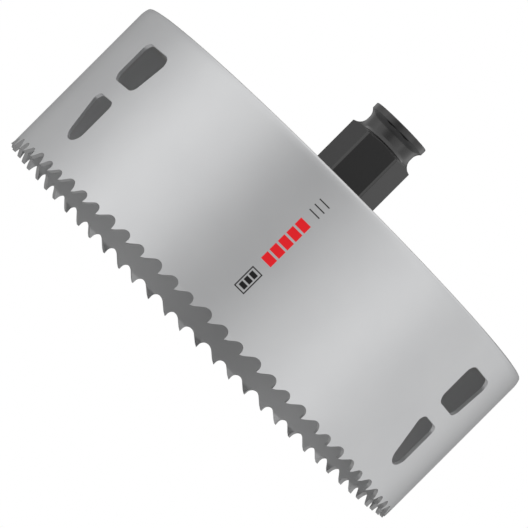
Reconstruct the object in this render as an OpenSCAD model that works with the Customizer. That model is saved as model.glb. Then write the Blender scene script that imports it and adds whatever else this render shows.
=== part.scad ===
// Hole saw: a toothed cup with chip slots and a quick-change hexagon adapter on its back.
// The cup stands on its tooth tips, and the axis of rotation is +Z towards the adapter.

/* [Cup] */
// Outside diameter of the cup wall
cup_d = 152; // [110:1:210]
// Height of the cup from the tooth tips to its back
cup_h = 56; // [54:0.5:70]
// Thickness of the strip that the wall is rolled from
strip_t = 1.2; // [1:0.05:1.6]
// How far the wall is drawn in at its back edge
ease_in = 0.4; // [0.2:0.05:0.6]
// Height over which the wall is drawn in
ease_h = 3.2; // [2.4:0.1:4]

/* [Teeth] */
// Number of teeth round the rim
tooth_count = 71; // [56:1:96]
// Gap in front of an inward tooth, against the mean gap
gap_in = 1.07; // [1:0.01:1.1]
// Gap in front of a straight tooth, against the mean gap
gap_straight = 0.93; // [0.9:0.01:1]
// Gap in front of an outward tooth, against the mean gap
gap_out = 1; // [0.95:0.01:1.05]
// Depth of a gullet, as a share of its gap
gullet_depth = 0.43; // [0.4:0.01:0.46]
// Radius of a gullet in front of its tooth, as a share of its gap
gullet_front_r = 0.28; // [0.24:0.01:0.3]
// Radius of a gullet behind the next tooth, as a share of its gap
gullet_back_r = 0.4; // [0.34:0.01:0.42]
// Height of the relief land behind a tip, as a share of the gap
relief_h = 0.1; // [0.06:0.01:0.14]
// Angle of the relief land behind a tip
relief_angle = 30; // [24:1:36]
// Sideways lean of a set tooth, measured at its tip
tooth_set = 0.35; // [0.15:0.05:0.5]
// Height above the tips where a set tooth starts to lean, as a share of the mean gap
bend_share = 0.32; // [0.2:0.01:0.32]
// Place of the strip's butt seam, turned from the front towards +X
seam_turn = 106.7; // [0:0.1:360]

/* [Slots] */
// Number of slot pairs round the wall
slot_pairs = 3; // [2:1:5]
// Height of the upper slot's bottom edge above the tips
upper_z = 32.8; // [31:0.1:34]
// Height of the upper slot itself
upper_h = 14.4; // [10:0.1:15]
// Reach of the upper slot to the left of its pair line
upper_left = 5.7; // [4:0.1:7]
// Reach of the upper slot to the right, along its top edge
upper_right = 10.3; // [8:0.1:12]
// How much less the upper slot reaches to the right at its bottom edge
upper_taper = 2.6; // [0:0.1:4]
// Corner radius of the upper slot
upper_r = 2.9; // [1:0.1:3.5]
// Height of the lower slot's rounded foot above the tips
lower_z = 11; // [8:0.1:13]
// Height of the lower slot itself
lower_h = 16.1; // [12:0.1:17]
// Reach of the lower slot to the left, along its top edge
lower_left = 6.2; // [5:0.1:8]
// Reach of the lower slot to the right of its pair line
lower_right = 5.4; // [4:0.1:7]
// Corner radius along the lower slot's top edge
lower_r = 2.2; // [1:0.1:2.5]
// Radius of the lower slot's rounded foot
foot_r = 3.9; // [2.5:0.1:4.2]

/* [Back plate] */
// Thickness of the back plate
plate_t = 4.8; // [4:0.1:6.4]
// Chamfer round the plate's top edge, where it is welded in
weld_chamfer = 0.5; // [0.2:0.1:1]
// Diameter of the threaded centre hole
thread_d = 15.9; // [12.7:0.1:17]
// Diameter of the two drive pin holes
pin_hole_d = 6.5; // [5:0.1:6.6]
// Pitch circle diameter of the drive pin holes
pin_circle_d = 28; // [28:0.5:40]

/* [Adapter] */
// Height of the adapter above the cup's back
adapter_h = 27.5; // [27:0.1:32]
// Width of the hexagon across its flats
hex_af = 20; // [18:0.1:21]
// Diameter that the hexagon's corners are turned to
hex_corner_d = 22.6; // [22:0.1:23.5]
// Diameter of the end collar
collar_d = 19.6; // [18:0.1:19.9]
// Chamfer round the collar's end
collar_chamfer = 0.2; // [0.1:0.05:0.6]
// Diameter of the neck at the bottom of the snap groove
neck_d = 17.2; // [15:0.1:17.6]
// Length of the straight neck
neck_l = 0.8; // [0.2:0.1:1.4]
// Radius at both sides of the snap groove, next to the neck
groove_r = 3.2; // [2.8:0.1:3.4]
// Height of the middle of the groove above the cup's back
groove_z = 22.6; // [18:0.1:22.8]
// Diameter of the bore for the pilot drill
pilot_bore_d = 8; // [6:0.1:10]
// Chamfer at the bore's mouths and at the spigot's end
edge_chamfer = 0.5; // [0.2:0.1:0.9]
// How far the threaded spigot stands out inside the cup
spigot_out = 1.6; // [0.5:0.1:4]
// Radial gap between the spigot and its threaded hole
thread_gap = 0.05; // [0.02:0.01:0.15]
// Turn of the adapter where its thread comes tight
adapter_turn = 0.2; // [-30:0.1:30]

/* [Hidden] */
$fn = 96;

// Length by which a cutting shape passes the surface that it opens
over = 1;
// Length by which the blank reaches below the tips, before the gullets are cut
spare = 0.5;
// Largest turn of one straight piece along an arc, and the fewest pieces in an arc
arc_step = 18;
arc_pieces = 3;

outer_r = cup_d / 2;
inner_r = outer_r - strip_t;
edge_r = strip_t - ease_in;
plate_z = cup_h - plate_t;

// Teeth come in threes along the cutting direction: inward, straight, outward
gap_shares = [gap_in, gap_straight, gap_out];
leans = [-tooth_set, 0, tooth_set];
share_sum = gap_sum(tooth_count);
tip_r = outer_r + tooth_set;
bend_h = bend_share * 2 * PI * tip_r / tooth_count;
// Parts of a gap that a tooth's root takes up in front of its tip and behind it
root_ahead = 0.22;
root_behind = 0.6;

slot_step = 360 / slot_pairs;
upper_top = upper_z + upper_h;
lower_top = lower_z + lower_h;

hex_chamfer_h = (hex_corner_d - hex_af) / 2 * tan(30);
groove_ring_r = neck_d / 2 + groove_r;
spigot_r = thread_d / 2 - thread_gap;
spigot_h = plate_t + spigot_out;
bore_r = pilot_bore_d / 2;

// Sum of the gap shares from the seam up to tooth i
function gap_sum(i) = i == 0 ? 0 : gap_sum(i - 1) + gap_shares[(i - 1) % 3];

// Angle of the gap in front of tooth i
function gap_angle(i) = 360 * gap_shares[i % 3] / share_sum;

// Length of that gap, square to the rake face of tooth i
function gap(i) = tip_r * sin(gap_angle(i));

// Turn of tooth i about the axis, falling in the cutting direction
function tooth_turn(i) = seam_turn - 90 - 360 * gap_sum(i) / share_sum;

// Sideways shift at height z of a tooth face that leans by a given amount at its tip
function shift(lean, z) = lean * (bend_h - z) / bend_h;

// Points along an arc round a centre, from one angle to another
function arc(centre, r, from, to) =
    let (n = max(arc_pieces, ceil(abs(to - from) / arc_step)))
    [for (k = [0 : n])
        let (a = from + (to - from) * k / n)
        centre + r * [cos(a), sin(a)]];

// Point where a tangent from p touches a circle, on the side given as 1 or -1
function tangent_point(p, centre, r, side) =
    let (v = p - centre, a = atan2(v[1], v[0]) + side * acos(r / norm(v)))
    centre + r * [cos(a), sin(a)];

// Unit vector from a to b
function toward(a, b) = (b - a) / norm(b - a);

// Half of the angle at corner b between its edges to a and c
function half_angle(a, b, c) = acos(toward(b, a) * toward(b, c)) / 2;

// Arc that rounds corner b by a radius, for corners that run anticlockwise
function corner_arc(a, b, c, r) =
    let (half = half_angle(a, b, c),
         centre = b + toward([0, 0], toward(b, a) + toward(b, c)) * r / sin(half),
         start = b + toward(b, a) * r / tan(half) - centre,
         from = atan2(start[1], start[0]))
    arc(centre, r, from, from + 180 - 2 * half);

// Outline of a convex shape with each corner rounded by its own radius
function rounded(corners, radii) =
    let (n = len(corners))
    [for (i = [0 : n - 1])
        each corner_arc(corners[(i + n - 1) % n], corners[i], corners[(i + 1) % n], radii[i])];

// Cuts a shape through the wall: its X runs along the wall and its Y up the axis
module through_wall(turn) {
    rotate([0, 0, turn])
        translate([inner_r - tooth_set - over, 0, 0])
            rotate([90, 0, 90])
                linear_extrude(strip_t + 2 * (tooth_set + over))
                    children();
}

// Gullet of a gap g: the rake face is at x = 0, and the relief land meets the next
// tip at x = -g and runs on below it
module gullet(g) {
    depth = gullet_depth * g;
    front_r = gullet_front_r * g;
    back_r = gullet_back_r * g;
    back_centre = [-front_r, depth - back_r];
    land = [relief_h * g / tan(relief_angle) - g, relief_h * g];
    land_way = land - back_centre;
    touch_angle = atan2(land_way[1], land_way[0]) - acos(back_r / norm(land_way));
    back_arc = arc(back_centre, back_r, 90, touch_angle);
    polygon(concat([[0, -over]],
                   arc([-front_r, depth - front_r], front_r, 0, 90),
                   [for (k = [1 : len(back_arc) - 1]) back_arc[k]],
                   [land, [-g - over / tan(relief_angle), -over]]));
}

// Gullets in front of every third tooth
module gullets(first) {
    for (i = [first : 3 : tooth_count - 1])
        through_wall(tooth_turn(i))
            gullet(gap(i));
}

// Turned blank: its wall is drawn in and rounded at the back edge, and flares by the
// full set to both sides at the tips and a little below them, where no tooth is left
module blank() {
    flare = shift(tooth_set, -spare);
    rise = ease_h - edge_r;
    centre_gap = (rise * rise + ease_in * ease_in) / (2 * ease_in);
    ease_r = centre_gap + edge_r;
    ease_angle = asin(rise / centre_gap);
    rotate_extrude()
        polygon(concat([[inner_r, bend_h], [inner_r - flare, -spare],
                        [outer_r + flare, -spare], [outer_r, bend_h]],
                       arc([outer_r - ease_r, cup_h - ease_h], ease_r, 0, ease_angle),
                       arc([inner_r, cup_h - edge_r], edge_r, ease_angle, 90)));
}

// Turns a section through the stretch of wall that tooth i stands on
module root_sector(i, section) {
    ahead = root_ahead * gap_angle(i);
    behind = root_behind * gap_angle((i + tooth_count - 1) % tooth_count);
    rotate([0, 0, tooth_turn(i) - ahead])
        rotate_extrude(angle = ahead + behind)
            polygon(section);
}

// Cuts the flare back to the lean of tooth i, on its inner and outer face. A slanted cut
// leaves the wall at the bend line and runs on above it.
module lean_cut(i) {
    lean = leans[i % 3];
    top = lean == 0 ? bend_h : bend_h + spare;
    clear = tooth_set + over;
    if (lean > -tooth_set)
        root_sector(i, [[inner_r + shift(lean, top), top], [inner_r - clear, top],
                        [inner_r - clear, -over], [inner_r + shift(lean, -over), -over]]);
    if (lean < tooth_set)
        root_sector(i, [[outer_r + shift(lean, top), top],
                        [outer_r + shift(lean, -over), -over],
                        [outer_r + clear, -over], [outer_r + clear, top]]);
}

// Blank with its gullets cut in three rounds, because neighbouring gullets meet at a tip
module milled_blank() {
    difference() {
        difference() {
            difference() {
                blank();
                gullets(0);
            }
            gullets(1);
        }
        gullets(2);
    }
}

module upper_slot() {
    polygon(rounded([[-upper_left, upper_z], [upper_right - upper_taper, upper_z],
                     [upper_right, upper_top], [-upper_left, upper_top]],
                    [upper_r, upper_r, upper_r, upper_r]));
}

// The slanted side runs from the top left corner to the rounded foot, which it touches
module lower_slot() {
    top_left = [-lower_left, lower_top];
    foot_centre = [lower_right - foot_r, lower_z + foot_r];
    slant = toward(top_left, tangent_point(top_left, foot_centre, foot_r, 1));
    foot_corner = top_left + slant * (lower_left + lower_right) / slant[0];
    polygon(rounded([top_left, foot_corner, [lower_right, lower_top]],
                    [lower_r, foot_r, lower_r]));
}

module toothed_band() {
    color([0.76, 0.77, 0.78])
        difference() {
            milled_blank();
            for (i = [0 : tooth_count - 1])
                lean_cut(i);
            for (i = [0 : slot_pairs - 1])
                through_wall(90 + i * slot_step) {
                    upper_slot();
                    lower_slot();
                }
        }
}

module back_plate() {
    color([0.66, 0.67, 0.68])
        difference() {
            rotate_extrude()
                polygon([[0, plate_z], [inner_r, plate_z], [inner_r, cup_h - weld_chamfer],
                         [inner_r - weld_chamfer, cup_h], [0, cup_h]]);
            translate([0, 0, plate_z - over])
                cylinder(d = thread_d, h = plate_t + 2 * over);
            for (side = [-1, 1])
                translate([0, side * pin_circle_d / 2, plate_z - over])
                    cylinder(d = pin_hole_d, h = plate_t + 2 * over);
        }
}

// Hexagon bar with its seat at z = 0. Its corners are turned, and chamfered at the seat.
module hexagon_bar() {
    intersection() {
        cylinder(d = hex_af / cos(30), h = groove_z, $fn = 6);
        rotate_extrude()
            polygon([[0, 0], [hex_af / 2, 0], [hex_corner_d / 2, hex_chamfer_h],
                     [hex_corner_d / 2, groove_z], [0, groove_z]]);
    }
}

// Turned core: the spigot below the seat, and the end collar, which starts within the
// height of the groove, where nothing of its own width is left
module turned_core() {
    rotate_extrude()
        polygon([[0, -spigot_h], [spigot_r - edge_chamfer, -spigot_h],
                 [spigot_r, edge_chamfer - spigot_h], [spigot_r, groove_z - over],
                 [collar_d / 2, groove_z - over], [collar_d / 2, adapter_h - collar_chamfer],
                 [collar_d / 2 - collar_chamfer, adapter_h], [0, adapter_h]]);
}

// Ring that leaves the straight neck and a radius at each side of it
module snap_groove() {
    translate([0, 0, groove_z]) {
        for (side = [-1, 1])
            rotate_extrude()
                translate([groove_ring_r, side * neck_l / 2])
                    circle(groove_r);
        rotate_extrude()
            translate([neck_d / 2, -neck_l / 2])
                square([groove_r, neck_l]);
    }
}

// Pilot bore with a chamfered mouth at each end
module pilot_bore() {
    mouth_r = bore_r + edge_chamfer;
    rotate_extrude()
        polygon([[0, -spigot_h - over], [mouth_r, -spigot_h - over], [mouth_r, -spigot_h],
                 [bore_r, edge_chamfer - spigot_h], [bore_r, adapter_h - edge_chamfer],
                 [mouth_r, adapter_h], [mouth_r, adapter_h + over], [0, adapter_h + over]]);
}

module adapter() {
    color([0.17, 0.17, 0.18])
        translate([0, 0, cup_h])
            rotate([0, 0, adapter_turn])
                difference() {
                    union() {
                        hexagon_bar();
                        turned_core();
                    }
                    snap_groove();
                    pilot_bore();
                }
}

toothed_band();
back_plate();
adapter();
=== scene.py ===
# Hole saw: a toothed steel cup with chip slots and a black quick-change adapter on its back.
# Lengths are in millimetres until a mesh is made, azimuths in radians from +X towards +Y.
import math
import bpy
import numpy as np
from mathutils import Matrix, Vector


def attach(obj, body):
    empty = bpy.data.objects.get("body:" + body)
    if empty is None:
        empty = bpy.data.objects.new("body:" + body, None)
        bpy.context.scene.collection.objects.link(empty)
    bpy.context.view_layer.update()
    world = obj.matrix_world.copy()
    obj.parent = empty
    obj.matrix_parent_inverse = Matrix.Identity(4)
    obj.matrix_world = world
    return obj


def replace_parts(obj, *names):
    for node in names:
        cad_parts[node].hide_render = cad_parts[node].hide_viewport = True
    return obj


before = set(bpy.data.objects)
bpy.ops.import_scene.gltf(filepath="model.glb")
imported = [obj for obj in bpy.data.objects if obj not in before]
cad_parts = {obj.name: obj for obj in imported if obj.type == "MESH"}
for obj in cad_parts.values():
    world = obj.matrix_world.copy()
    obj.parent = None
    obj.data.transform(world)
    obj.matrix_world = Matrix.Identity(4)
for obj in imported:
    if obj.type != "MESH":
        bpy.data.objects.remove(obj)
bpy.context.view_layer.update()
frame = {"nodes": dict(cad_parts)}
print("frame loaded:", ", ".join(frame["nodes"]))

metre = 0.001                                # Blender's length of a millimetre
fullTurn = 2 * math.pi
sixthTurn = math.pi / 3


# Meshes: a patch is an array of points, rows x columns x 3. It faces the side from which its
# columns run to the right and its rows run up.

def makeMesh(name, patches, sharpAngle, zones=None):
    # Quads between neighbouring rows and columns of every patch, with equal points merged; the
    # zones number each patch's faces, all alike or one by one
    points = np.concatenate([patch.reshape(-1, 3) for patch in patches])
    quads, start = [], 0
    for patch in patches:
        rows, cols = patch.shape[:2]
        index = start + np.arange(rows * cols).reshape(rows, cols)
        corners = (index[:-1, :-1], index[:-1, 1:], index[1:, 1:], index[1:, :-1])
        quads.append(np.stack(corners, -1).reshape(-1, 4))
        start += rows * cols
    quads = np.concatenate(quads)
    kept, first, merged = np.unique(np.round(points, 5), axis=0, return_index=True,
                                    return_inverse=True)
    quads = merged.reshape(-1)[quads]
    mesh = bpy.data.meshes.new(name)
    mesh.vertices.add(len(kept))
    mesh.vertices.foreach_set("co", (points[first] * metre).ravel())
    mesh.loops.add(quads.size)
    mesh.loops.foreach_set("vertex_index", quads.ravel().astype(np.int32))
    mesh.polygons.add(len(quads))
    mesh.polygons.foreach_set("loop_start", np.arange(0, quads.size, 4, dtype=np.int32))
    if zones is not None:
        values = [np.broadcast_to(zone, (patch.shape[0] - 1, patch.shape[1] - 1)).ravel()
                  for zone, patch in zip(zones, patches)]
        attribute = mesh.attributes.new("zone", "FLOAT", "FACE")
        attribute.data.foreach_set("value", np.concatenate(values).astype(np.float32))
    mesh.update(calc_edges=True)
    mesh.shade_smooth()
    mesh.set_sharp_from_angle(angle=math.radians(sharpAngle))
    piece = bpy.data.objects.new(name, mesh)
    bpy.context.scene.collection.objects.link(piece)
    print(name, "has", len(quads), "faces")
    return piece


def around(azimuth, radius, z):
    # Point = (radius cos azimuth, radius sin azimuth, z)
    azimuth, radius, z = np.broadcast_arrays(azimuth, radius, z)
    return np.stack([radius * np.cos(azimuth), radius * np.sin(azimuth), z], -1)


def arc(centre, radius, start, end, count):
    # Centre + radius (cos t, sin t), for count + 1 angles t in degrees
    t = np.radians(np.linspace(start, end, count + 1))
    return np.asarray(centre) + radius * np.stack([np.cos(t), np.sin(t)], -1)


def between(first, last, shares):
    # Rows of points, first + (last - first) share
    return first + (last - first) * np.array(shares)[:, None, None]


def border(across, upward):
    # Closed line round a grid: along its first row, up its last column, back and down again
    ones = np.ones(len(upward) - 1)
    line = np.concatenate([
        np.stack([across[:-1], 0 * across[:-1] + upward[0]], -1),
        np.stack([across[-1] * ones, upward[:-1]], -1),
        np.stack([across[:0:-1], 0 * across[:0:-1] + upward[-1]], -1),
        np.stack([across[0] * ones, upward[:0:-1]], -1)])
    return np.concatenate([line, line[:1]])


def roundedOutline(corners, radii, steps=24):
    # Convex outline, anticlockwise: at each corner b an arc whose centre lies on the bisector,
    # radius / sin(half angle) away from b
    corners = [np.array(corner, float) for corner in corners]
    pieces = []
    for k, b in enumerate(corners):
        toA, toC = corners[k - 1] - b, corners[(k + 1) % len(corners)] - b
        toA, toC = toA / np.linalg.norm(toA), toC / np.linalg.norm(toC)
        half = math.acos(toA @ toC) / 2
        middle = (toA + toC) / np.linalg.norm(toA + toC)
        centre = b + middle * radii[k] / math.sin(half)
        start = b + toA * radii[k] / math.tan(half) - centre
        first = math.degrees(math.atan2(start[1], start[0]))
        pieces.append(arc(centre, radii[k], first, first + 180 - math.degrees(2 * half), steps))
    return np.concatenate(pieces)


# Toothed band. The pattern is worked out flat, as azimuth, height and the lean of the tooth, and
# wrapped on the outer and the inner face.

cup = {
    "outerR": 76.0, "strip": 1.2, "height": 56.0,
    "easeIn": 0.4, "easeH": 3.2,             # how far and how low the back edge is drawn in
    "easeSteps": (6, 8),                     # along the drawn-in arc and the rounding above it
    "topRow": 0.5, "insideRow": 1.5,         # below the drawn-in arc, and below the back edge
    "footRows": (0, 0.05, 0.13, 0.3, 0.6, 1),    # shares of the way from teeth to slot frames
    "sharpAngle": 35,
}
teeth = {
    "count": 71, "gapShares": (1.07, 0.93, 1.0), "leans": (-1, 0, 1),
    "depth": 0.43, "frontR": 0.28, "backR": 0.4,     # of a gullet, as shares of its gap
    "frontSteps": 30, "backSteps": 40,
    "reliefH": 0.1, "reliefAngle": math.radians(30),
    "set": 0.35, "bendShare": 0.32, "seamTurn": math.radians(106.7),
    "tipLand": 0.003,                        # part of a gap that is left flat at a tip
    "wedgeRows": (0.17, 0.34, 0.5, 0.67, 0.84, 1),   # shares of the way from relief to bend
    "wedgeCols": 3, "arcCols": 9,
}
slots = {
    # Each slot lies in a frame of mesh rows, from its first height to its second
    "lines": [math.radians(90 + 120 * k) for k in range(3)],
    "upper": {"corners": [(-5.7, 32.8), (7.7, 32.8), (10.3, 47.2), (-5.7, 47.2)],
              "radii": (2.9, 2.9, 2.9, 2.9), "frame": (31.0, 49.0)},
    # Top is left, right and height; foot is radius and lowest height
    "lower": {"top": (-6.2, 5.4, 27.1), "foot": (3.9, 11.0), "topR": 2.2, "frame": (9.4, 28.9)},
    "window": (-8.0, 12.2),                  # how far the frames reach to both sides of a line
    "windowCols": 40, "windowRows": 14, "ringRows": (0, 0.4, 0.72, 0.92, 1),
    "turnWorth": 3.0,                        # length that a radian of turn counts as
    "broken": 0.1,                           # width of the broken edge round a slot
}

tipR = cup["outerR"] + teeth["set"]
innerR = cup["outerR"] - cup["strip"]
bendH = teeth["bendShare"] * fullTurn * tipR / teeth["count"]


def wrap(pattern, radius, inside=False):
    # Radius = face radius + lean (bendH - z) / bendH below the bend line; the inner face is
    # turned over
    z = pattern[..., 1]
    lean = pattern[..., 2] * np.clip((bendH - z) / bendH, 0, 1)
    points = around(pattern[..., 0], radius + lean, z)
    return points[:, ::-1] if inside else points


def gulletOutline():
    # Gullet of gap 1, from the tip behind it at x = -1 over its top to the rake face at x = 0,
    # and the number of the point at its top
    depth, frontR, backR = teeth["depth"], teeth["frontR"], teeth["backR"]
    centre = np.array([-frontR, depth - backR])
    land = np.array([teeth["reliefH"] / math.tan(teeth["reliefAngle"]) - 1, teeth["reliefH"]])
    way = land - centre
    touch = math.degrees(math.atan2(way[1], way[0]) - math.acos(backR / np.linalg.norm(way)))
    back = arc(centre, backR, touch % 360, 90, teeth["backSteps"])
    front = arc((-frontR, depth - frontR), frontR, 90, 0, teeth["frontSteps"])
    tip = np.array([[teeth["tipLand"] - 1, 0]])
    return np.concatenate([tip, land[None], back, front[1:], [[0, 0]]]), len(back) + 1


def toothPattern():
    # Wedges below the bend line (teeth x rows x columns x 3), each from the rake face of one
    # gullet to the back of the next, and gullet arcs (teeth x points x 3) above it
    place = np.arange(teeth["count"]) % 3
    shares = np.array(teeth["gapShares"])[place]
    gaps = fullTurn * shares / shares.sum()
    turns = teeth["seamTurn"] - math.pi / 2 - np.concatenate([[0], np.cumsum(gaps)[:-1]])
    leans = np.array(teeth["leans"])[place] * teeth["set"]
    turns, leans, gapAhead = turns[::-1], leans[::-1], gaps[::-1]    # now by rising azimuth
    gapBehind = np.roll(gapAhead, -1)
    size = tipR * np.sin(gapAhead)
    sizeBehind = np.roll(size, -1)
    outline, top = gulletOutline()
    rising, falling = outline[:top + 1], outline[:top - 1:-1]

    relief = teeth["reliefH"] * sizeBehind
    rows = [relief * 0, relief * 0.5, relief]
    rows += [relief + (bendH - relief) * share for share in teeth["wedgeRows"]]
    z = np.stack(rows, 1)
    frontX = np.interp(z / size[:, None], falling[:, 1], falling[:, 0])
    backX = np.interp(z / sizeBehind[:, None], rising[:, 1], rising[:, 0])
    left = turns[:, None] + frontX * gapAhead[:, None]
    right = turns[:, None] + (1 + backX) * gapBehind[:, None]
    share = np.linspace(0, 1, teeth["wedgeCols"] + 1)
    azimuth = left[..., None] + (right - left)[..., None] * share
    wedges = np.stack(np.broadcast_arrays(azimuth, z[..., None], leans[:, None, None]), -1)

    # Gullet behind each tooth, evenly along the outline from bend line to bend line
    run = np.concatenate([[0], np.cumsum(np.linalg.norm(np.diff(outline, axis=0), axis=1))])
    level = bendH / sizeBehind
    startRun = np.interp(level, rising[:, 1], run[:top + 1])
    endRun = np.interp(level, falling[:, 1], run[:top - 1:-1])
    share = np.linspace(0, 1, teeth["arcCols"] + 1)
    along = startRun[:, None] + (endRun - startRun)[:, None] * share
    arcZ = np.interp(along, run, outline[:, 1]) * sizeBehind[:, None]
    arcZ[:, 0] = arcZ[:, -1] = bendH
    azimuth = turns[:, None] + (1 + np.interp(along, run, outline[:, 0])) * gapBehind[:, None]
    azimuth[:, 0] = wedges[:, -1, -1, 0]
    azimuth[:-1, -1] = wedges[1:, -1, 0, 0]
    azimuth[-1, -1] = wedges[0, -1, 0, 0] + fullTurn
    return wedges, np.stack([azimuth, arcZ, azimuth * 0], -1)


def slotOutline(kind):
    # Flat outline of a slot, x along the wall from its pair line. The lower one is a triangle
    # whose slanted side touches its rounded foot.
    form = slots[kind]
    if kind == "upper":
        return roundedOutline(form["corners"], form["radii"])
    leftX, rightX, topZ = form["top"]
    footR, footZ = form["foot"]
    topLeft, centre = np.array([leftX, topZ]), np.array([rightX - footR, footZ + footR])
    way = topLeft - centre
    turn = math.atan2(way[1], way[0]) + math.acos(footR / np.linalg.norm(way))
    slant = centre + footR * np.array([math.cos(turn), math.sin(turn)]) - topLeft
    corner = topLeft + slant * (rightX - leftX) / slant[0]
    return roundedOutline([topLeft, corner, (rightX, topZ)], (form["topR"], footR, form["topR"]))


def resample(outline, corners, counts):
    # Points along the outline between those nearest to the frame's corners, spaced by length
    # plus a share for each turn, so that round corners get more of them
    closed = np.concatenate([outline, outline[:1]])
    edge = np.diff(closed, axis=0)
    length = np.linalg.norm(edge, axis=1)
    heading = np.unwrap(np.arctan2(edge[:, 1], edge[:, 0]))
    turning = np.abs(np.diff(np.concatenate([[heading[-1] - fullTurn], heading])))
    spacing = length + slots["turnWorth"] * (turning + np.roll(turning, -1))
    weight = np.concatenate([[0], np.cumsum(spacing)])
    nearest = [np.argmin(np.linalg.norm(outline - corner, axis=1)) for corner in corners]
    marks = weight[nearest]
    marks = np.append(marks, marks[0])
    for k in range(1, len(marks)):
        if marks[k] <= marks[k - 1]:
            marks[k:] += weight[-1]
    places = np.concatenate([np.linspace(a, b, n, endpoint=False)
                             for a, b, n in zip(marks[:-1], marks[1:], counts)])
    places = np.append(places, marks[-1]) % weight[-1]
    return np.stack([np.interp(places, weight, closed[:, k]) for k in (0, 1)], -1)


def outwards(loop, distance):
    # Closed loop moved along its outward normal (dy, -dx) / |d|
    ahead = np.roll(loop[:-1], -1, 0) - np.roll(loop[:-1], 1, 0)
    normal = np.stack([ahead[:, 1], -ahead[:, 0]], -1)
    normal /= np.linalg.norm(normal, axis=1)[:, None]
    return loop + distance * np.concatenate([normal, normal[:1]])


def frameRows(kind):
    # Even heights over the frame round a slot
    return np.linspace(*slots[kind]["frame"], slots["windowRows"] + 1)


def wallColumns(start, cols):
    # Numbers of the columns where the slot windows begin and end, between the first and the
    # last one, and every column's azimuth: even in each window and between windows
    left, right = np.arcsin(np.array(slots["window"]) / cup["outerR"])
    windows = sorted((line + left - start) % fullTurn + start for line in slots["lines"])
    free = cols - len(windows) * slots["windowCols"]
    freeTurn = fullTurn - len(windows) * (right - left)
    knots, places = [0], [start]
    for window in windows:
        knots.append(knots[-1] + round(free * (window - places[-1]) / freeTurn))
        places.append(window)
        knots.append(knots[-1] + slots["windowCols"])
        places.append(window + right - left)
    knots.append(cols)
    places.append(start + fullTurn)
    return knots, np.interp(np.arange(cols + 1), knots, places)


def wallGrid(azimuths, heights):
    # Plain wall, without lean, at every azimuth and height
    azimuth, z = np.meshgrid(azimuths, heights)
    return np.stack([azimuth, z, azimuth * 0], -1)


def slotRings(kind, across):
    # Wall from the frame round a slot to its broken edge, the slot's loop and that wider loop,
    # laid on the wall by azimuth = pair line + arcsin(x / outer radius)
    left, right = slots["window"]
    low, high = slots[kind]["frame"]
    corners = np.array([(left, low), (right, low), (right, high), (left, high)])
    cols, rows = len(across) - 1, slots["windowRows"]
    edge = resample(slotOutline(kind), corners, (cols, rows, cols, rows))
    pairLine = across[0] - math.asin(left / cup["outerR"])

    def onWall(loop):
        turn = np.arcsin(loop[:, 0] / cup["outerR"])
        return np.stack([pairLine + turn, loop[:, 1], turn * 0], -1)

    edge, wide = onWall(edge), onWall(outwards(edge, slots["broken"]))
    line = border(across, frameRows(kind))
    line = np.concatenate([line, line[:, :1] * 0], -1)
    return between(line, wide, slots["ringRows"]), edge, wide


def backEdge(azimuths):
    # Outside, an arc that draws the wall in by easeIn over easeH, of radius edgeR + gap with
    # gap^2 = rise^2 + (gap - easeIn)^2, and an arc of radius edgeR over to the inner face
    height, easeIn = cup["height"], cup["easeIn"]
    drawnZ = height - cup["easeH"]
    edgeR = cup["strip"] - easeIn
    rise = cup["easeH"] - edgeR
    gap = (rise ** 2 + easeIn ** 2) / (2 * easeIn)
    easeR, easeTurn = gap + edgeR, math.degrees(math.asin(rise / gap))
    drawnSteps, roundSteps = cup["easeSteps"]
    profile = np.concatenate([
        arc((cup["outerR"] - easeR, drawnZ), easeR, 0, easeTurn, drawnSteps),
        arc((innerR, height - edgeR), edgeR, easeTurn, 90, roundSteps)[1:]])
    insideZ = np.array([drawnZ, height - cup["insideRow"], height])[:, None]
    return (around(azimuths, profile[:, :1], profile[:, 1:]),
            around(azimuths, innerR, insideZ)[:, ::-1])


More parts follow.
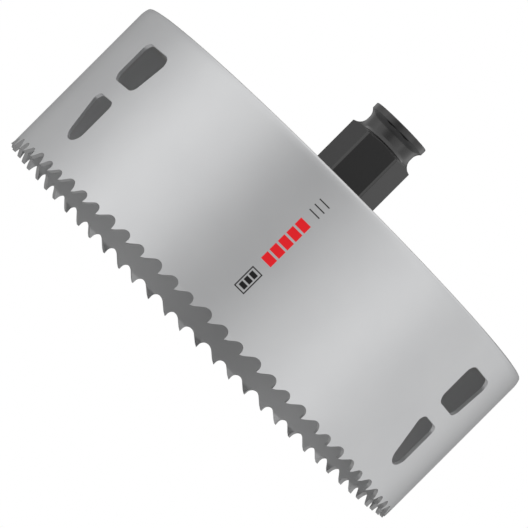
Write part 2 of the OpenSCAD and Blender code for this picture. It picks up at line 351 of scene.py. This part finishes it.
def makeBand():
    # The flat pattern wrapped on the outer and the inner face of the strip, with the milled
    # edge of the teeth, the walls of the slots and the back edge between the two
    outerR, drawnZ = cup["outerR"], cup["height"] - cup["easeH"]
    wedges, arcs = toothPattern()
    pattern = list(wedges)

    # Free edge of each tooth, as one line: tip, back, gullet, rake face of the next tooth
    nextWedges = np.roll(wedges, -1, 0)
    nextWedges[-1, ..., 0] += fullTurn
    free = np.concatenate([wedges[:, 0], wedges[:, 1:, -1], arcs[:, 1:-1],
                           nextWedges[:, ::-1, 0]], 1)
    milled = [np.stack([wrap(line, outerR), wrap(line, innerR)], 1) for line in free]

    # Wall above the gullets, up to the foot of the slot frames
    bottom = np.concatenate([wedges[:, -1], arcs[:, 1:-1]], 1).reshape(-1, 3)
    bottom = np.concatenate([bottom, bottom[:1] + [fullTurn, 0, 0]])
    bottom[:, 2] = 0
    knots, azimuths = wallColumns(bottom[0, 0], len(bottom) - 1)
    lowerZ, upperZ = frameRows("lower"), frameRows("upper")
    wall = between(bottom, wallGrid(azimuths, lowerZ[:1])[0], cup["footRows"])
    wall[:, -1] = wall[:, 0] + [fullTurn, 0, 0]
    pattern.append(wall)

    # Wall beside, between, above and round the slots
    topZ = np.array([upperZ[-1], drawnZ - cup["topRow"], drawnZ])
    allZ = np.concatenate([lowerZ, upperZ, topZ[1:]])
    for first, last in zip(knots[::2], knots[1::2]):
        pattern.append(wallGrid(azimuths[first:last + 1], allZ))
    pierced = []
    for first, last in zip(knots[1::2], knots[2::2]):
        across = azimuths[first:last + 1]
        pattern.append(wallGrid(across, [lowerZ[-1], upperZ[0]]))
        pattern.append(wallGrid(across, topZ))
        for kind in ("lower", "upper"):
            rings, edge, wide = slotRings(kind, across)
            pattern.append(rings)
            pierced.append(np.stack([wrap(wide, outerR), wrap(edge, outerR - slots["broken"]),
                                     wrap(edge, innerR + slots["broken"]), wrap(wide, innerR)]))

    outsideTop, insideTop = backEdge(azimuths)
    outer = [wrap(patch, outerR) for patch in pattern] + [outsideTop]
    inner = [wrap(patch, innerR, inside=True) for patch in pattern] + [insideTop]
    # Zone 0 is outside, 1 inside, 2 milled and 3 pierced
    zones = np.repeat([0, 1, 2, 3], [len(outer), len(inner), len(milled), len(pierced)])
    return makeMesh("saw_band", outer + inner + milled + pierced, cup["sharpAngle"], zones)


# Adapter: one closed surface, radius and height along a path for every angle round the axis

adapter = {
    "turn": math.radians(0.2), "acrossFlats": 20.0, "cornerR": 11.3,
    "softTurn": 0.5,                         # degrees over which a flat's long edge is rounded
    "flatEnd": 2.6, "flatCols": 10,          # even columns end so many softTurns before the edge
    "footIn": 0.03, "footH": 0.02,           # inset of the hexagon's foot, and its lowest bevel
    "neckR": 8.6, "neckL": 0.8, "grooveR": 3.2, "grooveZ": 22.6, "grooveSteps": 9,
    "collarR": 9.8, "collarChamfer": 0.2, "length": 27.5,
    "boreR": 4.0, "chamfer": 0.5, "spigotR": 7.9, "spigotH": 6.4,
    "threadPitch": 1.411, "threadDepth": 0.55, "threadRows": 8,
    "ridgeTop": 1.25, "ridgeSlope": 1.5,     # of the thread's cut-off triangle
    "leadH": 0.9, "tailH": 0.6, "plainH": 0.75, "plainRow": 0.6,     # its ends, and plain neck
    "endIn": 0.1,                            # inset of the spigot's end from the thread's root
    "edge": 0.14, "softEdge": 0.26,          # how far the edges are eased
    "flatRows": (0.02, 0.25, 0.5, 0.75, 0.98),
    "easeMost": 0.4,                         # share of a side that easing may take
    "beside": 0.3, "besideBore": 1.0,        # rows that keep the faces beside an edge flat
    "sharpAngle": 40,
}


def fromFlat(angle):
    # Turn between an angle and the middle of the nearest flat
    return np.abs((angle + sixthTurn / 2) % sixthTurn - sixthTurn / 2)


def hexagonRadius(angle, edgeAt, soft):
    # Smaller of apothem / cos and the turned corner's radius, less slope (soft - d)^2 / 4 soft
    # within soft of the edge between them
    apothem, cornerR = adapter["acrossFlats"] / 2, adapter["cornerR"]
    near = np.clip(soft - np.abs(fromFlat(angle) - edgeAt), 0, None)
    dip = cornerR * math.tan(edgeAt) * near ** 2 / (4 * soft)
    return np.minimum(apothem / np.cos(fromFlat(angle)), cornerR) - dip


def hexagonAngles(edgeAt, soft):
    # Angles of one sector, close together at the two edges of its turned corner, six times round
    flatHalf = edgeAt - adapter["flatEnd"] * soft
    corner = edgeAt + soft * np.array([-1, -1 / 3, 1 / 3, 1])
    sector = np.concatenate([np.linspace(-flatHalf, flatHalf, adapter["flatCols"]), corner,
                             [sixthTurn / 2], sixthTurn - corner[::-1]])
    angle = np.concatenate([sector + k * sixthTurn for k in range(6)])
    return np.append(angle, angle[0] + fullTurn)


def threadRadius(angle, z):
    # Root radius + depth x ridge, a cut-off triangle of the phase z / pitch - turn, which fades
    # out at the spigot's end and below its plain neck
    form = adapter
    phase = (z / form["threadPitch"] - angle / fullTurn) % 1
    ridge = np.clip(form["ridgeTop"] - np.abs(2 * phase - 1) * form["ridgeSlope"], 0, 1)
    lead = np.clip((z + form["spigotH"]) / form["leadH"], 0, 1)
    tail = np.clip((-form["plainH"] - z) / form["tailH"], 0, 1)
    return form["spigotR"] - form["threadDepth"] * (1 - ridge * lead * tail)


def eased(path, widths):
    # Each point p between a and b with a width becomes the curve (1-t)^2 p1 + 2t(1-t) p + t^2 p2,
    # with p1 and p2 that far from p towards a and b, or easeMost of the way where that is less
    most, result = adapter["easeMost"], []
    for k in range(len(path)):
        if not widths[k]:
            result.append(path[k])
            continue
        a, p, b = path[k - 1], path[k], path[(k + 1) % len(path)]
        toA, toB = a - p, b - p
        lenA, lenB = (np.linalg.norm(way, axis=-1, keepdims=True) for way in (toA, toB))
        p1 = p + toA / lenA * np.minimum(widths[k], most * lenA)
        p2 = p + toB / lenB * np.minimum(widths[k], most * lenB)
        for t in (0, 1 / 3, 2 / 3, 1):
            result.append((1 - t) ** 2 * p1 + 2 * t * (1 - t) * p + t * t * p2)
    return result


def makeAdapter():
    # The path runs from the bore's lower mouth out over the thread, hexagon, groove and collar,
    # and back down the bore; heights count from the cup's back
    form = adapter
    apothem, grooveR, length = form["acrossFlats"] / 2, form["grooveR"], form["length"]
    edgeAt, soft = math.acos(apothem / form["cornerR"]), math.radians(form["softTurn"])
    angle = hexagonAngles(edgeAt, soft)
    hexR = hexagonRadius(angle, edgeAt, soft)
    ringR = form["neckR"] + grooveR
    lowerZ, upperZ = (form["grooveZ"] + side * form["neckL"] / 2 for side in (-1, 1))
    creaseTurn = np.arccos((ringR - hexR) / grooveR)
    creaseZ = lowerZ - grooveR * np.sin(creaseTurn)
    collarTurn = math.acos((ringR - form["collarR"]) / grooveR)
    collarZ = upperZ + grooveR * math.sin(collarTurn)
    seatR, rootR = apothem - form["footIn"], form["spigotR"] - form["threadDepth"]
    endZ, chamfer, beside = -form["spigotH"], form["chamfer"], form["beside"]
    mouthR, capR = form["boreR"] + chamfer, form["collarR"] - form["collarChamfer"]
    edge, softEdge = form["edge"], form["softEdge"]
    path, widths = [], []

    def row(radius, z, width=0):
        path.append(np.stack(np.broadcast_arrays(radius + 0 * angle, z + 0 * angle), -1))
        widths.append(width)

    row(mouthR, endZ, edge)
    row(rootR - form["endIn"], endZ)
    for z in np.arange(endZ, -form["plainH"], form["threadPitch"] / form["threadRows"]):
        row(threadRadius(angle, z), z)
    row(rootR, -form["plainRow"])
    row(rootR, 0)
    row(seatR, 0, edge)
    shoulderZ = np.maximum((hexR - seatR) * math.tan(math.pi / 6), form["footH"])
    row(hexR, shoulderZ, edge)
    for share in form["flatRows"]:
        row(hexR, shoulderZ + (creaseZ - shoulderZ) * share)
    row(hexR, creaseZ, softEdge)
    shares = np.linspace(0, 1, form["grooveSteps"] + 1)
    for turn in [creaseTurn * (share - 1) for share in shares[1:]]:
        row(ringR - grooveR * np.cos(turn), lowerZ + grooveR * np.sin(turn))
    for turn in collarTurn * shares[:-1]:
        row(ringR - grooveR * np.cos(turn), upperZ + grooveR * np.sin(turn))
    row(form["collarR"], collarZ, softEdge)
    row(form["collarR"], collarZ + beside)
    row(form["collarR"], length - form["collarChamfer"] - beside)
    row(form["collarR"], length - form["collarChamfer"], edge)
    row(capR, length, edge)
    row(capR - beside, length)
    row(mouthR + beside, length)
    row(mouthR, length, edge)
    row(form["boreR"], length - chamfer, edge)
    row(form["boreR"], length - chamfer - form["besideBore"])
    row(form["boreR"], endZ + chamfer + form["besideBore"])
    row(form["boreR"], endZ + chamfer, edge)
    path = eased(path, widths)
    path.append(path[0])
    path = np.stack(path)
    points = around(angle + form["turn"] + sixthTurn / 2, path[..., 0],
                    path[..., 1] + cup["height"])

    # Zone 0 is milled flat, between the shoulder and the groove; the rest is turned
    middle = (path[:-1, :-1] + path[1:, :-1] + path[:-1, 1:] + path[1:, 1:]) / 4
    milled = ((middle[..., 0] > seatR + form["footIn"] / 3) & (middle[..., 1] < creaseZ[:-1])
              & (fromFlat((angle[:-1] + angle[1:]) / 2) < edgeAt))
    return makeMesh("quick_adapter", [points], form["sharpAngle"], [1.0 - milled])


# Back plate: polar patches on its two faces, rings round the pin holes, and its edges

plate = {
    "thickness": 4.8, "holeR": 7.95, "pinR": 3.25, "pinCircleR": 14.0, "edge": 0.25,
    "cols": 192, "window": (36, 60),         # columns beside a pin hole, 67.5 to 112.5 degrees
    "windowHalf": 4.1, "windowRows": 14,     # radial reach of that window from the pin circle
    "ringRows": (0, 0.35, 0.7, 0.93, 1), "faceR": (19, 73), "faceRows": 15,
    "beadIn": 73.9, "beadH": 0.16, "beadOver": 0.12, "beadSteps": 8,
    "rimGap": 0.02, "rimTop": (0.6, 0.7), "rimFoot": 0.2,
    "sharpAngle": 35,
}


def rimProfile(top, bottom):
    # Radius and height from the face over the weld bead, a half sine wave that laps over the
    # band's rounded edge, and down the plate's outer wall to its lower face
    form = plate
    t = np.linspace(0, 1, form["beadSteps"] + 1)
    bead = np.stack([form["beadIn"] + (innerR + form["beadOver"] - form["beadIn"]) * t,
                     top + form["beadH"] * np.sin(math.pi * t) - form["beadOver"] * t], -1)
    wallR = innerR - form["rimGap"]
    return np.concatenate([bead, [
        (innerR + form["rimGap"], top - form["rimTop"][0]), (wallR, top - form["rimTop"][1]),
        (wallR, bottom + form["rimFoot"]), (innerR - form["rimFoot"], bottom),
        (form["beadIn"], bottom)]])


def makePlate():
    # Faces: radius x azimuth. Round a pin hole: rows from a polar window to the hole's circle.
    # What lies beside and round one pin hole is repeated half a turn on.
    form = plate
    top, bottom = cup["height"], cup["height"] - form["thickness"]
    azimuths = np.linspace(0, fullTurn, form["cols"] + 1)
    windowFrom, windowTo = form["window"]
    beside = azimuths[windowTo:windowFrom + form["cols"] // 2 + 1]
    across = azimuths[windowFrom:windowTo + 1]
    radii = form["pinCircleR"] + np.linspace(-form["windowHalf"], form["windowHalf"],
                                             form["windowRows"] + 1)
    outsideRadii = np.concatenate([radii[-1:], np.linspace(*form["faceR"], form["faceRows"] + 1),
                                   [form["beadIn"]]])
    edge, holeR = form["edge"], form["holeR"]
    window = border(across, radii)
    patches = []

    def face(azimuth, radius, z, up):
        points = around(azimuth[None, :], radius[:, None], z)
        return points[::-1] if up else points

    for z, up in ((top, True), (bottom, False)):
        patches.append(face(azimuths, np.array([holeR + edge, radii[0]]), z, up))
        patches.append(face(azimuths, outsideRadii, z, up))
        outside = around(window[:, 0], window[:, 1], z)
        centre = np.array([0, form["pinCircleR"], z])
        spoke = outside - centre
        spoke /= np.linalg.norm(spoke, axis=1)[:, None]
        hole = centre + spoke * (form["pinR"] + edge)
        rings = between(outside, hole, form["ringRows"])
        pinSide = [face(beside, radii, z, up), rings[::-1] if up else rings]
        if up:
            wall, inset = centre + spoke * form["pinR"], np.array([0, 0, edge])
            lower = np.array([0, 0, bottom - top])
            rim = np.stack([hole, wall - inset, wall + lower + inset, hole + lower])
            pinSide.append(rim[::-1])
        for patch in pinSide:
            patches += [patch, patch * np.array([-1, -1, 1])]

    # Centre hole, chamfered on both faces, and the welded rim
    holeLine = np.array([(holeR + edge, top), (holeR, top - edge), (holeR, bottom + edge),
                         (holeR + edge, bottom)])
    patches.append(around(azimuths, holeLine[:, :1], holeLine[:, 1:]))
    rimLine = rimProfile(top, bottom)
    patches.append(around(azimuths, rimLine[::-1, :1], rimLine[::-1, 1:]))
    return makeMesh("saw_back_plate", patches, form["sharpAngle"])


print("making the meshes")
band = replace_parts(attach(makeBand(), "root"), "toothed_band")
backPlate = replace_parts(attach(makePlate(), "root"), "back_plate")
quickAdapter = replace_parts(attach(makeAdapter(), "root"), "adapter")


# Materials. Value wraps a number socket, and an expression on Values adds its Math nodes.

class Value:
    def __init__(self, shade, socket):
        self.shade = shade
        self.socket = socket

    def math(self, operation, *others):
        # Math node of this value and the others
        inputs = dict(enumerate([self, *others]))
        return self.shade.value("ShaderNodeMath", {"operation": operation}, inputs)

    def __add__(self, other):
        return self.math("ADD", other)

    def __sub__(self, other):
        return self.math("SUBTRACT", other)

    def __rsub__(self, other):
        return self * -1 + other

    def __mul__(self, other):
        return self.math("MULTIPLY", other)

    __radd__ = __add__
    __rmul__ = __mul__

    def ramp(self, low, high):
        # 0 below low, 1 above high, straight between
        inputs = {"Value": self, "From Min": low, "From Max": high}
        return self.shade.value("ShaderNodeMapRange", {"clamp": True}, inputs)


class Shade:
    # Nodes of a new material, or of the tree that is given
    def __init__(self, name, tree=None):
        self.material = None
        if tree is None:
            self.material = bpy.data.materials.new(name)
            self.material.use_nodes = True
            tree = self.material.node_tree
        tree.nodes.clear()
        self.tree = tree

    def node(self, kind, settings=None, inputs=None):
        # Adds a node: settings first, then values or links of its sockets
        made = self.tree.nodes.new(kind)
        for key, value in (settings or {}).items():
            if key == "stops":
                ramp = made.color_ramp
                while len(ramp.elements) < len(value):
                    ramp.elements.new(0.5)
                for element, (place, colour) in zip(ramp.elements, value):
                    element.position, element.color = place, colour
            else:
                setattr(made, key, value)
        for key, value in (inputs or {}).items():
            socket = made.inputs[key]
            if isinstance(value, Value):
                value = value.socket
            if isinstance(value, bpy.types.NodeSocket):
                self.tree.links.new(value, socket)
            else:
                socket.default_value = value
        return made

    def value(self, kind, settings=None, inputs=None, output=0):
        # A node's number output as a Value
        return Value(self, self.node(kind, settings, inputs).outputs[output])

    def coords(self):
        # Object coordinates in metres
        return self.node("ShaderNodeTexCoord").outputs["Object"]

    def split(self, coords):
        # Coordinates as three numbers in millimetres
        parts = self.node("ShaderNodeSeparateXYZ", None, {0: coords}).outputs
        return [Value(self, part) * (1 / metre) for part in parts]

    def zone(self):
        # Number of the face's zone
        return self.value("ShaderNodeAttribute", {"attribute_name": "zone"}, None, "Fac")

    def noise(self, vector, scale, detail=3, roughness=0.5):
        # Cloudy number from 0 to 1
        return self.value("ShaderNodeTexNoise", None, {"Vector": vector, "Scale": scale,
                                                       "Detail": detail, "Roughness": roughness})

    def mix(self, factor, a, b):
        # Colour a + (b - a) factor
        made = self.node("ShaderNodeMix", {"data_type": "RGBA"}, {0: factor, 6: a, 7: b})
        return made.outputs[2]

    def bump(self, height, strength, distance):
        # Normal tilted by the slope of a height
        return self.node("ShaderNodeBump", None, {"Strength": strength, "Distance": distance,
                                                  "Height": height}).outputs[0]

    def surface(self, inputs):
        # Principled shader
        return self.node("ShaderNodeBsdfPrincipled", None, inputs).outputs[0]

    def finish(self, shader):
        # Shader as the material's surface
        self.node("ShaderNodeOutputMaterial", None, {"Surface": shader})
        return self.material


def grey(level):
    # Colour with three equal parts
    return (level, level, level, 1.0)


def fromAxis(x, y):
    # (x^2 + y^2)^0.5
    return (x * x + y * y).math("SQRT")


def fromFront(x, y):
    # Azimuth from the front, -Y, towards +X
    return x.math("ARCTAN2", y * -1)


stamp = {                                    # print on the wall's front, drawn in plain fields
    "half": 1.95, "soft": 0.07,              # half its width, and how soft its edges are
    "redZ": (23.9, 40.2), "blocks": 5, "gap": 0.7,
    "boxZ": (13.0, 20.7), "line": 0.36, "inset": 1.05, "step": 2.05, "barHalf": 1.15, "barH": 1.5,
    "scaleZ": 43.4,
    "red": (0.76, 0.006, 0.013, 1), "black": grey(0.01), "redFrom": (0.02, 0.1),
    "roughness": 0.5, "specular": 0.15,
}
stripLook = {
    "tones": ((0.60, 0.605, 0.615, 1), (0.66, 0.665, 0.67, 1)), "cloudScale": 55,
    "grainScale": 260, "grainStretch": (1, 1, 30),
    # Painted shade: a dark grey, and its shares in the steel's colour inside the cup, on the
    # milled edges and on the slot walls
    "paintedShade": grey(0.25), "shadeInside": 0.5, "shadeMilled": 0.75, "shadePierced": 0.33,
    "roughness": 0.33, "grainRough": 0.06, "cloudRough": 0.03, "dullRough": 0.13,
    "bump": 0.25, "bumpH": 0.02,
}


def stampFields(across, z, outside):
    # Red blocks and black fields (an outlined box, its bars and three thin lines), each a product
    # of soft steps at its sides
    half, soft, line, gap = stamp["half"], stamp["soft"], stamp["line"], stamp["gap"]

    def field(reach, foot, head):
        return (across.ramp(-reach - soft, soft - reach) * across.ramp(reach + soft, reach - soft)
                * z.ramp(foot - soft, foot + soft) * z.ramp(head + soft, head - soft) * outside)

    redFoot, redHead = stamp["redZ"]
    pitch = (redHead - redFoot + gap) / stamp["blocks"]
    red = sum(field(half, redFoot + k * pitch, redFoot + (k + 1) * pitch - gap)
              for k in range(stamp["blocks"]))
    boxFoot, boxHead = stamp["boxZ"]
    black = field(half, boxFoot, boxHead) - field(half - line, boxFoot + line, boxHead - line)
    for k in range(3):
        foot = boxFoot + stamp["inset"] + k * stamp["step"]
        black = black + field(stamp["barHalf"], foot, foot + stamp["barH"])
        foot = stamp["scaleZ"] + k * stamp["step"]
        black = black + field(half, foot, foot + line)
    return red, black


def stripSteel():
    # Rolled strip: a fine grain round the cup and cloudy tones, rougher inside and where the steel
    # is cut, with painted shade that darkens the colour inside the cup, on the milled edges and on
    # the slot walls, and the stamp's inks on the outside
    look = stripLook
    shade = Shade("strip steel")
    coords = shade.coords()
    x, y, z = shade.split(coords)
    zone = shade.zone()
    cut, pierced = zone.ramp(1, 2), zone.ramp(2, 3)      # cut is 1 on pierced faces too
    inside, outside = zone.ramp(0, 1) - cut, 1 - zone.ramp(0, 1)
    stretched = shade.node("ShaderNodeMapping", None, {"Vector": coords,
                                                       "Scale": look["grainStretch"]})
    grain = shade.noise(stretched.outputs[0], look["grainScale"], detail=4, roughness=0.6)
    cloud = shade.noise(coords, look["cloudScale"])
    # Painted shade: share of the dark grey in the steel's colour, most on the milled edges, less
    # inside, least on the slot walls
    paintedShade = (inside * look["shadeInside"] + cut * look["shadeMilled"]
            + pierced * (look["shadePierced"] - look["shadeMilled"]))
    steel = shade.mix(paintedShade, shade.mix(cloud, *look["tones"]), look["paintedShade"])
    roughness = (look["roughness"] + grain * look["grainRough"] + cloud * look["cloudRough"]
                 + (inside + cut) * look["dullRough"])
    bump = shade.bump(grain, look["bump"], look["bumpH"] * metre)
    metal = shade.surface({"Base Color": steel, "Roughness": roughness, "Metallic": 1.0,
                           "Normal": bump})
    red, black = stampFields(fromFront(x, y) * cup["outerR"], z, outside)
    ink = shade.mix(red.ramp(*stamp["redFrom"]), stamp["black"], stamp["red"])
    paint = shade.surface({"Base Color": ink, "Roughness": stamp["roughness"],
                           "Specular IOR Level": stamp["specular"], "Normal": bump})
    both = shade.node("ShaderNodeMixShader", None, {0: red + black, 1: metal, 2: paint})
    return shade.finish(both.outputs[0])


plateLook = {
    "tones": ((0.44, 0.445, 0.45, 1), (0.62, 0.625, 0.63, 1)), "ringShare": 0.6,
    "ringScale": 0.9, "cloudScale": 40,
    "straw": (0.42, 0.36, 0.30, 1), "strawR": (71.2, 73.8), "strawShare": 0.45,
    "roughness": 0.3, "ringRough": 0.08, "cloudRough": 0.05, "bump": 0.35, "bumpH": 0.05,
}


def plateSteel():
    # Turned face: fine rings by the distance from the axis, and a straw tint beside the weld
    look = plateLook
    shade = Shade("plate steel")
    coords = shade.coords()
    x, y = shade.split(coords)[:2]
    radius = fromAxis(x, y)
    rings = shade.value("ShaderNodeTexNoise", {"noise_dimensions": "1D"},
                        {"W": radius, "Scale": look["ringScale"], "Detail": 5, "Roughness": 0.6})
    cloud = shade.noise(coords, look["cloudScale"])
    tone = cloud * (1 - look["ringShare"]) + rings * look["ringShare"]
    heat = radius.ramp(*look["strawR"]) * look["strawShare"]
    colour = shade.mix(heat, shade.mix(tone, *look["tones"]), look["straw"])
    roughness = look["roughness"] + rings * look["ringRough"] + cloud * look["cloudRough"]
    bump = shade.bump(rings, look["bump"], look["bumpH"] * metre)
    return shade.finish(shade.surface({"Base Color": colour, "Roughness": roughness,
                                       "Metallic": 1.0, "Normal": bump}))


oxideLook = {
    "tones": ((0.003, 0.003, 0.0035, 1), (0.006, 0.0055, 0.0055, 1)), "cloudScale": 120,
    # Painted sheen: a lighter grey for the turned faces, and its share in their colour
    "sheenTone": (0.03, 0.029, 0.029, 1), "sheenShare": 0.12, "specular": 0.6,
    "roughness": 0.26, "cloudRough": 0.06, "turnedSmooth": 0.15,
    "gloss": 0.42, "glossRoughness": 0.1, "grainScale": 900, "bump": 0.15, "bumpH": 0.03,
}


def blackOxide():
    # Black conversion coat: satin on the milled flats, smoother and glossier where the lathe
    # turned it, with a painted sheen there:
    # a lighter base colour that stands in for the highlights on the turned corners, groove and
    # collar
    look = oxideLook
    shade = Shade("black oxide")
    coords = shade.coords()
    turned = shade.zone()
    cloud = shade.noise(coords, look["cloudScale"])
    # Painted sheen: the turned faces' colour goes a share of the way towards the lighter grey
    colour = shade.mix(turned * look["sheenShare"], shade.mix(cloud, *look["tones"]), look["sheenTone"])
    roughness = look["roughness"] + cloud * look["cloudRough"] - turned * look["turnedSmooth"]
    grain = shade.noise(coords, look["grainScale"], detail=4, roughness=0.6)
    return shade.finish(shade.surface({
        "Base Color": colour, "Roughness": roughness, "Metallic": 0.0,
        "Specular IOR Level": look["specular"], "Coat Weight": turned * look["gloss"],
        "Coat Roughness": look["glossRoughness"],
        "Normal": shade.bump(grain, look["bump"], look["bumpH"] * metre)}))


print("making the materials")
for piece, material in ((band, stripSteel()), (backPlate, plateSteel()),
                        (quickAdapter, blackOxide())):
    piece.data.materials.append(material)


# Studio: a white world, a round light tent with darker stretches, a floor, lamps and the camera

studio = {
    "ambient": 0.75, "tentR": 1500, "tentZ": (-1100, 1300), "tentCols": 96,
    # Brightness of the tent by direction from the camera's side, in degrees towards +X
    "tent": [(-180, 0.02), (-172, 0.03), (-165, 0.18), (-150, 0.48), (-135, 0.57), (-120, 0.57),
             (-100, 0.76), (-85, 0.96), (-73, 1.14), (-60, 1.02), (-45, 1.00), (-33, 0.73),
             (-20, 0.49), (-10, 0.45), (0, 0.48), (12, 0.73), (25, 0.82), (40, 0.96), (52, 1.11),
             (62, 0.97), (75, 0.77), (128, 0.84), (140, 0.63), (155, 0.33), (163, 0.20),
             (170, 0.02), (180, 0.02)],
    "foot": 0.68, "footHole": 1,             # grey of the tent's foot, and its small open middle
    "floorHalf": 1200, "floorFade": (220, 620), "floor": 0.82,
    # Place, size and watts of each soft lamp, and what the lamps point at
    "lamps": {"key": ((-700, -900, 1100), 900, 5), "fill": ((900, -600, 800), 900, 3)},
    "lampAim": (0, 0, 30), "sharpAngle": 60,
}
view = {
    "aim": (-0.07, 0, 27.25), "distance": 6700, "width": 152.2, "tilt": math.radians(3),
    "sensor": 36, "clip": (1000, 12000),
}


def makeWorld():
    # White where the camera, a mirror or glass shows it, and dimmer as light:
    # strength = ambient + seen (1 - ambient)
    world = bpy.data.worlds.new("studio")
    bpy.context.scene.world = world
    world.use_nodes = True
    shade = Shade("", world.node_tree)
    light = shade.node("ShaderNodeLightPath").outputs
    seen = (Value(shade, light["Is Camera Ray"]) + Value(shade, light["Is Glossy Ray"])
            + Value(shade, light["Is Transmission Ray"]))
    level = studio["ambient"] + seen.ramp(0, 1) * (1 - studio["ambient"])
    back = shade.node("ShaderNodeBackground", None, {"Color": grey(1.0), "Strength": level})
    shade.node("ShaderNodeOutputWorld", None, {"Surface": back.outputs[0]})


def makeStage(name, points, material):
    # One patch that isn't part of the object
    piece = makeMesh(name, [points], studio["sharpAngle"])
    piece.data.materials.append(material)
    return piece


def tentMaterial():
    # Emission by azimuth, through a ramp with one stop for each direction in the list
    shade = Shade("tent")
    x, y = shade.split(shade.coords())[:2]
    place = fromFront(x, y) * (1 / fullTurn) + 0.5
    stops = [((turn + 180) / 360, grey(level)) for turn, level in studio["tent"]]
    ramp = shade.node("ShaderNodeValToRGB", {"stops": stops}, {0: place})
    glow = shade.node("ShaderNodeEmission", None, {"Color": ramp.outputs[0], "Strength": 1.0})
    return shade.finish(glow.outputs[0])


def tentFootMaterial():
    # The same grey all over, so that walls seen from above don't mirror plain white
    shade = Shade("tent foot")
    glow = shade.node("ShaderNodeEmission", None, {"Color": grey(studio["foot"]), "Strength": 1.0})
    return shade.finish(glow.outputs[0])


def floorMaterial():
    # Only the camera sees the floor, and only from above; it fades out round the object, and
    # other rays pass
    shade = Shade("floor")
    x, y = shade.split(shade.coords())[:2]
    near = fromAxis(x, y).ramp(*studio["floorFade"][::-1])
    camera = shade.value("ShaderNodeLightPath", None, None, "Is Camera Ray")
    below = shade.value("ShaderNodeNewGeometry", None, None, "Backfacing")
    pale = shade.node("ShaderNodeBsdfDiffuse", None, {"Color": grey(studio["floor"])})
    clear = shade.node("ShaderNodeBsdfTransparent")
    both = shade.node("ShaderNodeMixShader", None, {
        0: camera * (1 - below) * near, 1: clear.outputs[0], 2: pale.outputs[0]})
    return shade.finish(both.outputs[0])


def softLamp(name, where, size, watts):
    # Square lamp at a place in millimetres, turned towards the saw
    lamp = bpy.data.lights.new(name, "AREA")
    lamp.energy, lamp.size = watts, size * metre
    lampObject = bpy.data.objects.new(name, lamp)
    bpy.context.scene.collection.objects.link(lampObject)
    place = Vector(where) * metre
    way = Vector(studio["lampAim"]) * metre - place
    lampObject.matrix_world = (Matrix.Translation(place)
                               @ way.to_track_quat("-Z", "Y").to_matrix().to_4x4())
    lampObject.visible_glossy = False


def makeStudio():
    # Tent: a cylinder round the Z axis that only mirrors see, closed below by a disc
    makeWorld()
    angle = np.linspace(fullTurn, 0, studio["tentCols"] + 1)[None, :]
    tentR, (footZ, headZ) = studio["tentR"], studio["tentZ"]
    tent = makeStage("tent", around(angle, tentR, np.array([[footZ], [headZ]])), tentMaterial())
    footR = np.array([[studio["footHole"]], [tentR]])
    foot = makeStage("tentFoot", around(angle, footR, footZ), tentFootMaterial())
    for piece in (tent, foot):
        piece.visible_camera = piece.visible_diffuse = piece.visible_shadow = False
        piece.visible_transmission = False
    half = studio["floorHalf"]
    x, y = np.meshgrid([-half, half], [-half, half])
    makeStage("floor", np.stack([x, y, x * 0], -1), floorMaterial())
    for name, (where, size, watts) in studio["lamps"].items():
        softLamp(name, where, size, watts)


def makeCamera():
    # Long lens at the photograph's angle, rolled so that the saw leans to the upper right:
    # focal length = sensor x distance / width
    camera = bpy.data.cameras.new("camera")
    camera.lens = view["sensor"] * view["distance"] / view["width"]
    camera.clip_start, camera.clip_end = (end * metre for end in view["clip"])
    cameraObject = bpy.data.objects.new("camera", camera)
    bpy.context.scene.collection.objects.link(cameraObject)
    away = Vector((0, -math.cos(view["tilt"]), -math.sin(view["tilt"])))
    across = Vector((1, 0, 0))
    upwards = away.cross(across)
    right, up = (across + upwards).normalized(), (upwards - across).normalized()
    turn = Matrix((right, up, away)).transposed().to_4x4()
    place = (Vector(view["aim"]) + away * view["distance"]) * metre
    cameraObject.matrix_world = Matrix.Translation(place) @ turn
    bpy.context.scene.camera = cameraObject


print("making the studio")
makeStudio()
makeCamera()
bpy.context.scene.view_settings.view_transform = "Standard"
